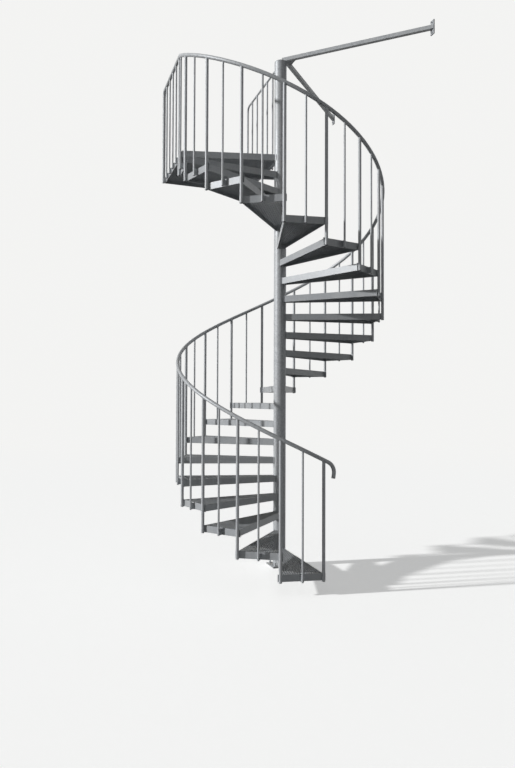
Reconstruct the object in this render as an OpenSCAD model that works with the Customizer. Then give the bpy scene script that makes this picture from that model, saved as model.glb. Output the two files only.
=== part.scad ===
// Galvanised steel spiral staircase with open grating treads and a square landing.
// The origin is the centre of the column on the underside of its base plate, +Z is up.
// The stair is entered in the plane y < 0 at x = 0 and climbs clockwise seen from above.
// The landing leaves towards +Y, and the two wall ties reach a wall on the +X side.

/* [Stair] */
// Number of wedge treads below the landing
tread_n = 22; // [12:1:24]
// Height of one rise
rise = 176; // [160:1:195]
// Turn from one tread to the next, in degrees
tread_angle = 21.1; // [19:0.1:23]
// Radius of the circle that the balusters and the handrail stand on
rail_circle_r = 1000; // [900:10:1150]

/* [Column] */
// Outer diameter of the column tube
column_d = 121; // [101:1:140]
// Wall of the column tube
column_wall = 4; // [3:0.5:8]
// Height of the column's top above the landing
column_above = 938; // [930:1:1100]
// Thickness of the cap plate that closes the column
cap_t = 6; // [4:1:12]
// Side of the square base plate
base_side = 200; // [190:5:300]
// Thickness of the base plate
base_t = 12; // [8:1:20]
// Distance between neighbouring anchor holes in the base plate
base_bolt_pitch = 140; // [135:1:160]
// Diameter of an anchor hole in the base plate
base_hole_d = 18; // [12:1:22]

/* [Treads] */
// Depth of the flat bars round a tread and round the landing
frame_h = 60; // [50:1:80]
// Thickness of those flat bars
frame_t = 5; // [4:0.5:8]
// Distance of a tread's side bars from its centre line at the column
hub_half = 30; // [26:1:36]
// Angle that a tread's saddle covers on each side of its centre line
saddle_half_angle = 42; // [36:1:48]
// Depth of the grating bars
grate_h = 30; // [20:1:40]
// Thickness of the grating bars
grate_t = 3; // [2:0.5:5]
// Distance from one grating bar to the next
grate_pitch = 20; // [16:1:45]
// Length that a tread's outer band stands past the middle of a corner baluster
band_ear = 20; // [4:1:28]

/* [Balusters] */
// Diameter of the corner balusters, which join one tread to the next
corner_d = 28; // [22:1:32]
// Diameter of the thin balusters in the middle of each tread
mid_d = 18; // [12:1:22]
// Distance of the thin balusters inside the handrail's circle
mid_inset = 0; // [0:1:8]
// Length that a baluster reaches below the underside of its tread
baluster_drop = 3; // [0:1:20]
// Width of the spacer lugs that carry the thin balusters
lug_w = 25; // [24:1:32]
// Distance of a lug's top below the top of its band
lug_drop = 6; // [4:1:12]

/* [Handrail] */
// Outer diameter of the handrail tube
rail_d = 34; // [30:1:42]
// Height of the handrail's middle above the landing and above each tread's front edge
rail_height = 942; // [900:1:1100]
// Radius of the bend at the handrail's lower end
hook_r = 95; // [70:5:120]
// Length of handrail between the first baluster and that bend
hook_run = 42; // [30:1:60]
// Slope of the straight end below that bend, in degrees: 90 is upright, more leans back below the rail
hook_slope = 98; // [90:1:110]
// Length of that straight end
hook_drop = 36; // [20:1:80]

/* [Landing] */
// Depth of the landing from the column's middle to its far edge
landing_depth = 1030; // [950:5:1200]
// Angle between the landing's front edge and its far edge
landing_skew = 14.2; // [10:0.1:18]
// Distance of the last guard posts from the far edge
post_inset = 18; // [18:1:40]
// Number of spaces between posts along the outer guard
outer_spaces = 5; // [3:1:8]
// Number of spaces between posts along the inner guard
inner_spaces = 6; // [4:1:9]
// Diameter of the inner guard's bent tube
guard_d = 21; // [19:1:28]
// Distance of the inner guard's middle below the top of the column
guard_below = 16; // [14:1:60]
// Radius of the bends where the guards turn down
guard_bend_r = 60; // [45:1:90]

/* [Wall ties] */
// Distance of the wall from the column's middle
wall_x = 1090; // [1060:5:1300]
// Distance of a wall plate's middle from the column's middle, along the wall
wall_y = 1000; // [900:10:1100]
// Side of the square tie tubes
tie_side = 35; // [30:1:36]
// Wall of the tie tubes
tie_wall = 3; // [2:0.5:5]
// Distance of the front tie's inner end from the column's middle
tie_start = 20; // [10:1:26]
// Distance from the column's middle to the place where the ties' middle lines meet
tie_meet = 46; // [44:1:80]
// Width of a wall plate
plate_w = 50; // [50:1:80]
// Height of a wall plate
plate_h = 130; // [125:5:200]
// Thickness of a wall plate
plate_t = 10; // [6:1:15]
// Distance between the two anchor holes of a wall plate
plate_bolt_pitch = 95; // [75:1:100]
// Diameter of an anchor hole in a wall plate
plate_hole_d = 12; // [8:1:14]
// Length of the gusset along each tie
gusset_reach = 85; // [70:5:150]
// Thickness of the gusset
gusset_t = 6; // [4:1:10]

/* [Fit] */
// Clearance between welded pieces that meet on a round face
seat = 0.3; // [0.2:0.05:0.5]

/* [Hidden] */
$fn = 48;
steel = "silver";
dark_steel = "slategray";

// Length that a cut reaches past the face it opens
past = 1;
// Length that a bar reaches into the one it is welded to
lap = 1;
cap_chamfer = 2;
spigot_h = 15;
// Width of the lug that carries the last thick baluster
corner_lug_w = corner_d - 4;

column_r = column_d / 2;
corner_r = corner_d / 2;
mid_r = mid_d / 2;
rail_r = rail_d / 2;
guard_r = guard_d / 2;

landing_z = (tread_n + 1) * rise;
column_top = landing_z + column_above;
rail_z0 = rise + rail_height;
rail_level = landing_z + rail_height;
guard_level = column_top - guard_below;
half_angle = tread_angle / 2;

// Outer face of a tread's straight band, which just clears the corner balusters
band_x = rail_circle_r * cos(half_angle) - corner_r - seat;
// Half the length of that band
band_half = rail_circle_r * sin(half_angle) + band_ear;
// Half the width of a tread between the outer faces of its side bars, at the band
tread_half = band_x * tan(half_angle);
mid_circle_r = rail_circle_r - mid_inset;

// The last corner baluster stands where the landing's front edge ends
end_turn = -90 - tread_n * tread_angle;
landing_turn = end_turn - (180 - landing_skew);
guard_x = -rail_circle_r * cos(landing_skew);
front_y = rail_circle_r * sin(landing_skew);
landing_left = guard_x + rail_r + seat;
landing_right = -guard_r - seat;
post_y = landing_depth - post_inset;

// Slope of the handrail
rail_pitch = atan(rise / (rail_circle_r * tread_angle * PI / 180));
ring_sides = 14;
rings_a_tread = 4;
top_blend = 0.3;
blend_y = front_y + top_blend * tread_angle * PI / 180 * rail_circle_r;

// The front tie lies on the column's cap, on a line through its middle, and the rear tie butts on it
tie_turn = atan(wall_y / (wall_x - plate_t));
tie_joint = tie_meet * [cos(tie_turn), -sin(tie_turn)];
rear_turn = atan2(wall_y - tie_joint[1], wall_x - plate_t - tie_joint[0]);
tie_z = column_top + tie_side / 2;

function tread_turn(k) = -90 - (k - 0.5) * tread_angle;
function corner_turn(k) = -90 - k * tread_angle;
function tread_top(k) = k * rise;
function on_circle(r, a, z) = [r * cos(a), r * sin(a), z];

// Places along the handrail's middle: a point, its heading in plan and its slope
function rail_place(k) =
    let (a = corner_turn(k))
    [on_circle(rail_circle_r, a, rail_z0 + k * rise), a - 90, rail_pitch];

hook_k = -hook_run / (rail_circle_r * tread_angle * PI / 180);
hook_start = rail_place(hook_k);

// A step of length s from a point, with a heading and a slope
function step(p, heading, slope, s) =
    p + s * [cos(slope) * cos(heading), cos(slope) * sin(heading), sin(slope)];

// The bend at the lower end turns from the slope of the straight end to the handrail's
function hook_place(slope) =
    let (p = hook_start[0], h = hook_start[1])
    let (along = hook_r * (sin(slope) - sin(rail_pitch)))
    let (up = hook_r * (cos(rail_pitch) - cos(slope)))
    [p - [along * cos(h), along * sin(h), up], h, slope];

hook_steps = 8;
hook_bend = [for (i = [hook_steps:-1:1])
    hook_place(rail_pitch + (hook_slope - rail_pitch) * i / hook_steps)];
hook_end = [step(hook_bend[0][0], hook_start[1], hook_slope, -hook_drop), hook_start[1], hook_slope];

helix_last = tread_n - top_blend;
helix_steps = round((helix_last - hook_k) * rings_a_tread);
helix = [for (i = [0:helix_steps]) rail_place(hook_k + (helix_last - hook_k) * i / helix_steps)];

// The handrail levels off in a curve whose tangents meet over the last corner baluster
blend_a = on_circle(rail_circle_r, corner_turn(helix_last), rail_z0 + helix_last * rise);
blend_b = on_circle(rail_circle_r, end_turn, rail_level);
blend_c = blend_b + (blend_y - front_y) * [cos(landing_turn + 90), sin(landing_turn + 90), 0];
function blend_point(t) =
    (1 - t) * (1 - t) * blend_a + 2 * t * (1 - t) * blend_b + t * t * blend_c;
function blend_place(t) =
    let (d = (1 - t) * (blend_b - blend_a) + t * (blend_c - blend_b))
    [blend_point(t), atan2(d[1], d[0]), atan2(d[2], norm([d[0], d[1]]))];
blend_steps = 5;
blend = [for (i = [1:blend_steps]) blend_place(i / blend_steps)];

rail_path = concat([hook_end], hook_bend, helix, blend);
rail_parts = 5;
function rail_cut(i) = round((len(rail_path) - 1) * i / rail_parts);

// One ring of points round a place on the handrail
function ring(place) =
    let (p = place[0], h = place[1], s = place[2])
    let (side = [-sin(h), cos(h), 0])
    let (top = [-sin(s) * cos(h), -sin(s) * sin(h), cos(s)])
    [for (j = [0:ring_sides - 1])
        p + rail_r * (cos(j * 360 / ring_sides) * side + sin(j * 360 / ring_sides) * top)];

function tread_name(k) = str("tread_", k < 10 ? "0" : "", k);

// Base plate with four anchor holes
module base_plate() {
    color(dark_steel)
    difference() {
        translate([-base_side / 2, -base_side / 2, 0])
            cube([base_side, base_side, base_t]);
        for (x = [-1, 1], y = [-1, 1])
            translate([x * base_bolt_pitch / 2, y * base_bolt_pitch / 2, -past])
                cylinder(d = base_hole_d, h = base_t + 2 * past);
    }
}

// Round tube that stands on the base plate
module column() {
    length = column_top - cap_t - base_t;
    color(steel)
    translate([0, 0, base_t])
    difference() {
        cylinder(r = column_r, h = length, $fn = 72);
        translate([0, 0, -past])
            cylinder(r = column_r - column_wall, h = length + 2 * past, $fn = 72);
    }
}

// Cap plate with a chamfered edge and a short spigot inside the tube
module column_cap() {
    spigot_r = column_r - column_wall - seat;
    tube_top = column_top - cap_t;
    color(steel)
    rotate_extrude($fn = 72)
        polygon([
            [0, tube_top - spigot_h], [spigot_r, tube_top - spigot_h],
            [spigot_r, tube_top], [column_r, tube_top],
            [column_r, column_top - cap_chamfer], [column_r - cap_chamfer, column_top],
            [0, column_top]
        ]);
}

// Flat bar on edge between two points, its outer face on the line and its body to the left
module flat_bar(p, q) {
    d = q - p;
    translate([p[0], p[1], 0])
    rotate(atan2(d[1], d[0]))
        cube([norm(d), frame_t, frame_h]);
}

// Space taken by the column, with the clearance of its welded neighbours
module column_space() {
    translate([0, 0, -past])
        cylinder(r = column_r + seat, h = frame_h + 2 * past, $fn = 72);
}

// Curved shoe that lies against the column, between two angles
module saddle(from, to) {
    outer = column_r + seat + frame_t;
    intersection() {
        cylinder(r = outer, h = frame_h, $fn = 72);
        linear_extrude(frame_h)
            polygon(concat([[0, 0]],
                [for (i = [0:4]) 2 * outer * [cos(from + (to - from) * i / 4),
                    sin(from + (to - from) * i / 4)]]));
    }
}

// Spacer lug with a hollow end that a baluster stands in, along +X from the band
module lug(start, post_x, post_radius, width) {
    difference() {
        translate([start, -width / 2, 0])
            cube([post_x - start, width, frame_h - lug_drop]);
        translate([post_x, 0, -past])
            cylinder(r = post_radius + seat, h = frame_h);
    }
}

// One wedge tread: side bars, straight outer band, saddle, grating bars and spacer lug
module tread(k) {
    slope = (tread_half - hub_half) / band_x;
    inner_x = band_x - frame_t;
    side_end = [inner_x + lap, -hub_half - slope * (inner_x + lap)];
    rows = floor((tread_half - frame_t) / grate_pitch);
    color(steel)
    rotate(tread_turn(k))
    translate([0, 0, tread_top(k) - frame_h]) {
        difference() {
            union() {
                saddle(-saddle_half_angle, saddle_half_angle);
                flat_bar([0, -hub_half], side_end);
                mirror([0, 1, 0])
                    flat_bar([0, -hub_half], side_end);
                translate([inner_x, -band_half, 0])
                    cube([frame_t, 2 * band_half, frame_h]);
                for (i = [-rows:rows])
                    grating_bar(i * grate_pitch, slope, inner_x);
            }
            column_space();
        }
        lug(band_x, mid_circle_r, mid_r, lug_w);
    }
}

// Grating bar along the tread, from the side bar or the saddle to the band
module grating_bar(y, slope, inner_x) {
    reach = abs(y) + grate_t / 2 + lap - hub_half;
    start = max(reach / slope, column_r);
    translate([start, y - grate_t / 2, frame_h - grate_h])
        cube([inner_x + lap - start, grate_t, grate_h]);
}

// Landing: four flat bars, a saddle, grating bars across the way out and lugs for the posts
module landing_platform() {
    hub = hub_half * [-sin(landing_skew), -cos(landing_skew)];
    front_slope = -tan(landing_skew);
    front_left = hub + (landing_left + frame_t / 2 - hub[0]) * [1, front_slope];
    saddle_from = acos((landing_right - frame_t / 2) / (column_r + frame_t / 2));
    color(steel)
    rotate(landing_turn)
    translate([0, 0, landing_z - frame_h]) {
        difference() {
            union() {
                flat_bar([landing_right, landing_depth], [landing_left, landing_depth]);
                flat_bar([landing_left, landing_depth], [landing_left, front_y - corner_r]);
                flat_bar(front_left, hub);
                flat_bar([landing_right, 0], [landing_right, landing_depth]);
                saddle(saddle_from, 180 + saddle_half_angle - landing_skew);
                for (i = [1:floor(landing_depth / grate_pitch)])
                    landing_bar(landing_depth - i * grate_pitch, hub, front_slope);
            }
            column_space();
        }
        for (i = [0:outer_spaces - 1])
            translate([0, outer_post_y(i), 0])
            mirror([1, 0, 0])
                lug(-landing_left, -guard_x, i == 0 ? corner_r : mid_r, i == 0 ? corner_lug_w : lug_w);
        for (i = [1:inner_spaces - 1])
            translate([0, inner_post_y(i), 0])
                lug(landing_right, 0, mid_r, lug_w);
    }
}

// Grating bar across the landing, from its left bar or its front bar to its right bar
module landing_bar(y, hub, front_slope) {
    on_front = hub[0] + (y - frame_t / 2 - hub[1]) / front_slope;
    start = max(on_front, landing_left + frame_t - lap);
    translate([start, y - grate_t / 2, frame_h - grate_h])
        cube([landing_right - frame_t + lap - start, grate_t, grate_h]);
}

function outer_post_y(i) = front_y + (post_y - front_y) * i / outer_spaces;
function inner_post_y(i) = column_r + (post_y - column_r) * i / inner_spaces;

// Baluster whose top is cut to fit under a tube at a given place
module baluster(x, y, z0, radius, place, tube_r) {
    difference() {
        translate([x, y, z0])
            cylinder(r = radius, h = place[0][2] - z0);
        translate(place[0])
        rotate([0, 90 - place[2], place[1]])
            cylinder(r = tube_r + seat, h = 8 * tube_r, center = true);
    }
}

// Thick balusters, each from one tread's rear corner past the next tread's front corner
module corner_balusters() {
    color(steel)
    for (k = [0:tread_n]) {
        p = on_circle(rail_circle_r, corner_turn(k), 0);
        place = k < tread_n ? rail_place(k) : blend_place(0.5);
        baluster(p[0], p[1], tread_top(max(k, 1)) - frame_h - baluster_drop, corner_r, place, rail_r);
    }
}

// Thin balusters, one in the middle of each tread
module mid_balusters() {
    color(steel)
    for (k = [1:tread_n]) {
        p = on_circle(mid_circle_r, tread_turn(k), 0);
        baluster(p[0], p[1], tread_top(k) - frame_h - baluster_drop, mid_r, rail_place(k - 0.5), rail_r);
    }
}

// Thin posts of the landing's two guards
module landing_posts() {
    z0 = landing_z - frame_h - baluster_drop;
    color(steel)
    rotate(landing_turn) {
        for (i = [1:outer_spaces - 1])
            baluster(guard_x, outer_post_y(i), z0, mid_r,
                [[guard_x, outer_post_y(i), rail_level], 90, 0], rail_r);
        for (i = [1:inner_spaces - 1])
            baluster(0, inner_post_y(i), z0, mid_r, [[0, inner_post_y(i), guard_level], 90, 0], guard_r);
    }
}

// One length of the curved handrail, swept along its path between two places
module handrail(i) {
    first = rail_cut(i - 1);
    last = rail_cut(i);
    n = last - first + 1;
    points = [for (j = [first:last]) each ring(rail_path[j])];
    sides = [for (j = [0:n - 2], m = [0:ring_sides - 1])
        let (a = j * ring_sides + m, b = j * ring_sides + (m + 1) % ring_sides)
        [a, b, b + ring_sides, a + ring_sides]];
    start_face = [[for (m = [ring_sides - 1:-1:0]) m]];
    end_face = [[for (m = [0:ring_sides - 1]) (n - 1) * ring_sides + m]];
    color(steel)
        polyhedron(points, concat(start_face, sides, end_face), convexity = 10);
}

// Level tube along y that turns down at the end post and stops below the landing
module level_guard(x, y0, level, radius) {
    z0 = landing_z - frame_h - baluster_drop;
    translate([x, y0, level])
    rotate([-90, 0, 0])
        cylinder(r = radius, h = post_y - guard_bend_r - y0);
    translate([x, post_y - guard_bend_r, level - guard_bend_r])
    rotate([0, -90, 0])
    rotate_extrude(angle = 90)
        translate([guard_bend_r, 0])
            circle(r = radius, $fn = 32);
    translate([x, post_y, z0])
        cylinder(r = radius, h = level - guard_bend_r - z0);
}

// Handrail over the landing's outer side
module landing_handrail() {
    color(steel)
    rotate(landing_turn)
        level_guard(guard_x, blend_y, rail_level, rail_r);
}

// Guard tube from the column along the landing's inner side
module inner_guard() {
    color(steel)
    rotate(landing_turn)
    difference() {
        level_guard(0, 0, guard_level, guard_r);
        translate([0, 0, guard_level - 2 * guard_r])
            cylinder(r = column_r + seat, h = 4 * guard_r, $fn = 72);
    }
}

// Length of square tube along +X that reaches past the wall
module tie_tube(start) {
    inside = tie_side - 2 * tie_wall;
    translate([start, 0, 0])
    rotate([0, 90, 0])
    linear_extrude(2 * wall_x)
    difference() {
        square(tie_side, center = true);
        square(inside, center = true);
    }
}

// Space beyond the faces that the wall plates turn to the ties
module behind_plates() {
    translate([wall_x - plate_t, -3 * wall_y, tie_z - tie_side])
        cube([3 * wall_x, 6 * wall_y, 2 * tie_side]);
}

// Square tube from the top of the column's cap to the front wall plate
module tie_front() {
    color(steel)
    difference() {
        translate([0, 0, tie_z])
        rotate(-tie_turn)
            tie_tube(tie_start);
        behind_plates();
    }
}

// Square tube from the front tie's side to the rear wall plate
module tie_rear() {
    color(steel)
    difference() {
        translate([tie_joint[0], tie_joint[1], tie_z])
        rotate(rear_turn)
            tie_tube(0);
        translate([0, 0, tie_z])
        rotate(-tie_turn)
        translate([-wall_x, -3 * wall_y + tie_side / 2, -tie_side])
            cube([3 * wall_x, 3 * wall_y, 2 * tie_side]);
        behind_plates();
    }
}

// Flat triangle in the corner between the two ties, on the side away from the column
module tie_gusset() {
    between = tie_turn + rear_turn;
    corner_x = tie_side / 2 * (1 + cos(between)) / sin(between);
    color(steel)
    translate([tie_joint[0], tie_joint[1], tie_z - tie_side / 2])
    rotate(-tie_turn)
    translate([corner_x, tie_side / 2, 0])
    linear_extrude(gusset_t)
        polygon([[0, 0], [gusset_reach, 0], gusset_reach * [cos(between), sin(between)]]);
}

// Plate that anchors a tie to the wall, with two holes one above the other
module wall_plate(side) {
    color(dark_steel)
    translate([wall_x - plate_t, side * wall_y, tie_z])
    difference() {
        translate([0, -plate_w / 2, -plate_h / 2])
            cube([plate_t, plate_w, plate_h]);
        for (z = [-1, 1])
            translate([-past, 0, z * plate_bolt_pitch / 2])
            rotate([0, 90, 0])
                cylinder(d = plate_hole_d, h = plate_t + 2 * past);
    }
}

module wall_plate_front() {
    wall_plate(-1);
}

module wall_plate_rear() {
    wall_plate(1);
}

base_plate();
column();
column_cap();
for (k = [1:tread_n])
    tread(k);
landing_platform();
corner_balusters();
mid_balusters();
landing_posts();
for (i = [1:rail_parts])
    handrail(i);
landing_handrail();
inner_guard();
tie_front();
tie_rear();
tie_gusset();
wall_plate_front();
wall_plate_rear();
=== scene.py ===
"""Galvanised spiral staircase: finishes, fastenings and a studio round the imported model."""

import math
import bmesh
import bpy
from bpy.props import FloatProperty, FloatVectorProperty, IntProperty, PointerProperty
from mathutils import Matrix, Vector


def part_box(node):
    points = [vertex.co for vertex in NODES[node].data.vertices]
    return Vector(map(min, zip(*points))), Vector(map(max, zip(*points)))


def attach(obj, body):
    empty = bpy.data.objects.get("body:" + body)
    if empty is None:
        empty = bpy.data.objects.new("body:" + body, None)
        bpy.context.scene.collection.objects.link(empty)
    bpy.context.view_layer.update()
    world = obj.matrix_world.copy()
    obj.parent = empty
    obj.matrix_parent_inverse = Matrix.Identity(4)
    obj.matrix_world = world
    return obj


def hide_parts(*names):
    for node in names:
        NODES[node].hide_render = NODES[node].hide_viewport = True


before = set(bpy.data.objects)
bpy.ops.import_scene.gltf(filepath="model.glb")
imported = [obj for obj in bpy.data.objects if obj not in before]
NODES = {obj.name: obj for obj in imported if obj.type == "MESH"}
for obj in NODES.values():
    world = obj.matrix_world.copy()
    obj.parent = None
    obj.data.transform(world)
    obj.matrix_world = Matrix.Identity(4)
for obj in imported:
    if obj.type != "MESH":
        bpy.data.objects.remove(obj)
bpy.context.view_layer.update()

bl_info = {
    "name": "Galvanised Spiral Staircase",
    "version": (1, 0, 0),
    "blender": (4, 5, 0),
    "location": "3D View > Sidebar > Staircase",
    "description": "Dresses a steel spiral staircase with gratings, welds, bolts and zinc",
    "category": "Object",
}

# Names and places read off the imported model
BODY = "root"
TREADS = sorted(name for name in NODES if name.startswith("tread_"))
TREAD_NUMBERS = range(1, len(TREADS) + 1)
RAIL_NODES = sorted(name for name in NODES if name.startswith("handrail_"))
COLUMN_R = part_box("column")[1].x
LANDING_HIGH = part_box("landing_platform")[1]
LANDING_Z = LANDING_HIGH.z
OUTER_GUARD_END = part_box("landing_handrail")[1].y
GUARD_LOW, GUARD_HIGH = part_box("inner_guard")
GUARD_R = (GUARD_HIGH.x - GUARD_LOW.x) / 2
TIE_LOW, TIE_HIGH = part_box("tie_rear")
PLATE_LOW, PLATE_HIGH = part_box("wall_plate_rear")
PLATE_X = PLATE_LOW.x
PLATE_Y = (PLATE_LOW.y + PLATE_HIGH.y) / 2
FIRST_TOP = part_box(TREADS[0])[1].z
SECOND_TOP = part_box(TREADS[1])[1].z

# Numbers of sides and of steps along curves
RAIL_SIDES = 32
HOOK_STEPS = 16
HELIX_STEPS_A_TREAD = 6
EASE_STEPS = 8
SADDLE_STEPS = 10
COPE_STEPS = 16
FOOT_STEPS = 48
WASHER_SIDES = 32
NUT_STEPS = 24
STUD_SIDES = 20
PLUG_SIDES = 24

# Share of a tread's turn, on either side of the last thick baluster, over which the handrail levels off
EASE_SHARE = 0.3

# Roughness that dull clouds and dust add to the zinc
CLOUD_ROUGHNESS = 0.16
DUST_ROUGHNESS = 0.30


# Sizes and colours that a user would change

def metres(name, description, default, low=0.0, high=10.0):
    """A length in metres for the panel."""
    return FloatProperty(name=name, description=description, default=default, min=low, max=high,
                         precision=4, unit="LENGTH")


def place_metres(name, description, default):
    """A place in metres for the panel, on either side of the column."""
    return metres(name, description, default, low=-50.0, high=50.0)


def degrees(name, description, default):
    """An angle for the panel, given in degrees."""
    return FloatProperty(name=name, description=description, default=math.radians(default),
                         subtype="ANGLE", unit="ROTATION")


def share(name, description, default):
    """A share from 0 to 1 for the panel."""
    return FloatProperty(name=name, description=description, default=default, min=0.0, max=1.0,
                         subtype="FACTOR")


def strength(name, description, default):
    """A light's strength for the panel."""
    return FloatProperty(name=name, description=description, default=default, min=0.0, max=10.0)


def spaces(name, description, default):
    """A number of spaces between posts for the panel."""
    return IntProperty(name=name, description=description, default=default, min=2, max=12)


def colour(name, description, default):
    """A colour for the panel."""
    return FloatVectorProperty(name=name, description=description, default=default, size=3,
                               min=0.0, max=1.0, subtype="COLOR")


class StairSizes(bpy.types.PropertyGroup):
    """Sizes of the stair that its small parts are placed by"""

    rise: metres("Rise", "Height from one tread to the next", SECOND_TOP - FIRST_TOP)
    turn: degrees("Turn", "Turn from one tread to the next", 21.1)
    rail_circle: metres("Rail circle", "Radius of the circle under the handrail", 1.0)
    rail_height: metres("Rail height", "Handrail's middle above the first tread's front edge", 0.942)
    rail_r: metres("Rail radius", "Radius of the handrail tube", 0.017)
    corner_r: metres("Thick baluster radius", "Radius of a baluster between two treads", 0.014)
    thin_r: metres("Thin baluster radius", "Radius of a baluster in the middle of a tread", 0.009)
    drop: metres("Baluster drop", "How far a baluster reaches below its tread", 0.003)
    frame_depth: metres("Frame depth", "Depth of the flat bars round a tread", 0.060)
    bar_t: metres("Flat bar thickness", "Thickness of the flat bars round a tread", 0.005)
    hub_half: metres("Hub half width", "Half of a tread's width at the column", 0.030)
    saddle_angle: degrees("Saddle angle", "Half of the angle that a tread's saddle covers", 42.0)
    landing_skew: degrees("Landing skew", "Angle of the landing's front edge", 14.2)
    hook_r: metres("Hook radius", "Radius of the bend at the handrail's lower end", 0.095)
    hook_run: metres("Hook run", "Handrail between the first baluster and that bend", 0.042)
    hook_slope: degrees("Hook slope", "Slope of the straight end below that bend", 98.0)
    hook_drop: metres("Hook drop", "Straight end below that bend", 0.036)
    base_t: metres("Base plate thickness", "Thickness of the base plate", 0.012)
    base_pitch: metres("Base hole pitch", "Distance between neighbouring anchors", 0.140)
    wall_pitch: metres("Wall hole pitch", "Distance between a wall plate's anchors", 0.095)
    tie_side: metres("Tie side", "Side of the square tie tubes", 0.035)
    tie_start: metres("Tie start", "Front tie's inner end from the column's middle", 0.020)
    tie_meet: metres("Tie joint", "Where the ties' middle lines meet, from the column's middle", 0.046)
    gusset_reach: metres("Gusset reach", "Length of the gusset along each tie", 0.085)
    gusset_t: metres("Gusset thickness", "Thickness of the gusset between the ties", 0.006)
    outer_posts: spaces("Outer spaces", "Spaces along the outer guard", 5)
    inner_posts: spaces("Inner spaces", "Spaces along the inner guard", 6)


class DetailSizes(bpy.types.PropertyGroup):
    """Sizes of the rods, beads and bolts"""

    rod_pitch: metres("Rod pitch", "Distance between the cross rods of a grating", 0.0381)
    rod_side: metres("Rod side", "Side of a twisted square cross rod", 0.005)
    rod_twist: metres("Rod twist", "Length of one full twist of a cross rod", 0.080)
    rod_step: metres("Rod step", "Length of one facet along a cross rod", 0.0062)
    bead_r: metres("Bead radius", "Radius of a weld bead", 0.0028)
    bead_step: metres("Bead step", "Distance between the ripples of a bead", 0.0030)
    anchor_d: metres("Anchor diameter", "Thread of a base anchor", 0.016)
    wall_bolt_d: metres("Wall bolt diameter", "Thread of a wall anchor", 0.010)
    plug_t: metres("Plug thickness", "Height of the plug in a tube's open end", 0.003)


class ZincColours(bpy.types.PropertyGroup):
    """Colours of the zinc and what lies on it"""

    bright: colour("Bright zinc", "Lightest spangles of tubes, balusters and bolts", (0.67, 0.69, 0.71))
    grey: colour("Grey zinc", "Lightest spangles of gratings, plates and welds, darkest of balusters",
                 (0.51, 0.53, 0.55))
    dark: colour("Dark zinc", "Darkest spangles of tubes, gratings and plates", (0.42, 0.44, 0.46))
    dull: colour("Dull zinc", "Weathered patches", (0.56, 0.57, 0.57))
    weld: colour("Weld zinc", "Rough zinc over the welds", (0.30, 0.32, 0.34))
    dust: colour("Dust", "Sand and dust on level faces", (0.56, 0.50, 0.41))
    plug: colour("Plug", "Plastic of the end plugs", (0.06, 0.065, 0.07))


class StudioSettings(bpy.types.PropertyGroup):
    """Floor, light and camera"""

    floor: colour("Floor", "Tone of the pale floor and backdrop", (0.90, 0.90, 0.89))
    shadow: share("Shadow depth", "How much of the floor's tone a shadow takes", 0.60)
    bounce: share("Floor bounce", "Share of light the floor throws back", 0.06)
    key: strength("Key light", "Strength of the key light", 2.5)
    key_size: degrees("Key size", "Angle that the key light fills", 2.0)
    key_side: degrees("Key side", "Turn of the key light from +Y towards +X", -82.0)
    key_height: degrees("Key height", "Angle of the key light above the floor", 20.0)
    sky: strength("Sky", "Strength of the light from all round", 0.11)
    sky_tint: colour("Sky tint", "Tone of the light from all round", (0.94, 0.97, 1.0))
    camera_x: place_metres("Camera X", "Camera's place along X", -2.310)
    camera_y: place_metres("Camera Y", "Camera's place along Y", -5.808)
    camera_z: place_metres("Camera height", "Camera's height above the ground", 1.622)
    heading: degrees("Heading", "Camera's turn from +Y towards +X", 19.68)
    pitch: degrees("Pitch", "Camera's tilt above the horizon", 1.394)
    roll: degrees("Roll", "Camera's roll", 0.21)
    lens: FloatProperty(name="Lens", description="Focal length over a 36 mm long side",
                        default=29.69, min=10.0, max=200.0, subtype="DISTANCE_CAMERA")


def sizes():
    """The stair's sizes, as the panel has them."""
    return bpy.context.scene.stair_sizes


def details():
    """The small parts' sizes, as the panel has them."""
    return bpy.context.scene.detail_sizes


def zincs():
    """The zinc's colours, as the panel has them."""
    return bpy.context.scene.zinc_colours


def studio():
    """The studio's settings, as the panel has them."""
    return bpy.context.scene.studio_settings


# Node trees

def place(tree, kind, x, y, **settings):
    """Adds a node at a place on the sheet and sets its own properties."""
    node = tree.nodes.new(kind)
    node.location = (x * 200, y * -160)
    for key, value in settings.items():
        setattr(node, key, value)
    return node


def connect(tree, value, socket):
    """Links another node's output to an input, or sets the input's own value."""
    if isinstance(value, bpy.types.NodeSocket):
        tree.links.new(value, socket)
    else:
        socket.default_value = value


def feed(tree, node, **values):
    """Fills inputs of a node by name; an underscore in a key stands for a space."""
    for key, value in values.items():
        connect(tree, value, node.inputs[key.replace("_", " ")])
    return node


def open_group(name, kind, inputs, outputs):
    """A new node group with named sockets, and its input and output nodes."""
    tree = bpy.data.node_groups.new(name, kind)
    for socket, socket_type, value in inputs:
        made = tree.interface.new_socket(socket, in_out="INPUT", socket_type=socket_type)
        if value is not None:
            made.default_value = value
    for socket, socket_type in outputs:
        tree.interface.new_socket(socket, in_out="OUTPUT", socket_type=socket_type)
    return tree, place(tree, "NodeGroupInput", -4, 0), place(tree, "NodeGroupOutput", 6, 0)


def shared(name, build):
    """A node group by name, built the first time it is asked for."""
    return bpy.data.node_groups.get(name) or build()


def math_node(tree, x, y, operation, a, b=0.0, c=0.0):
    """One arithmetic step; returns its value."""
    node = place(tree, "ShaderNodeMath", x, y, operation=operation)
    for socket, value in zip(node.inputs, (a, b, c)):
        connect(tree, value, socket)
    return node.outputs[0]


def spread(tree, x, y, value, low, high):
    """Eases from 0 where a value is low to 1 where it is high, clamped at both."""
    node = place(tree, "ShaderNodeMapRange", x, y, interpolation_type="SMOOTHSTEP")
    feed(tree, node, Value=value, From_Min=low, From_Max=high)
    return node.outputs["Result"]


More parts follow.
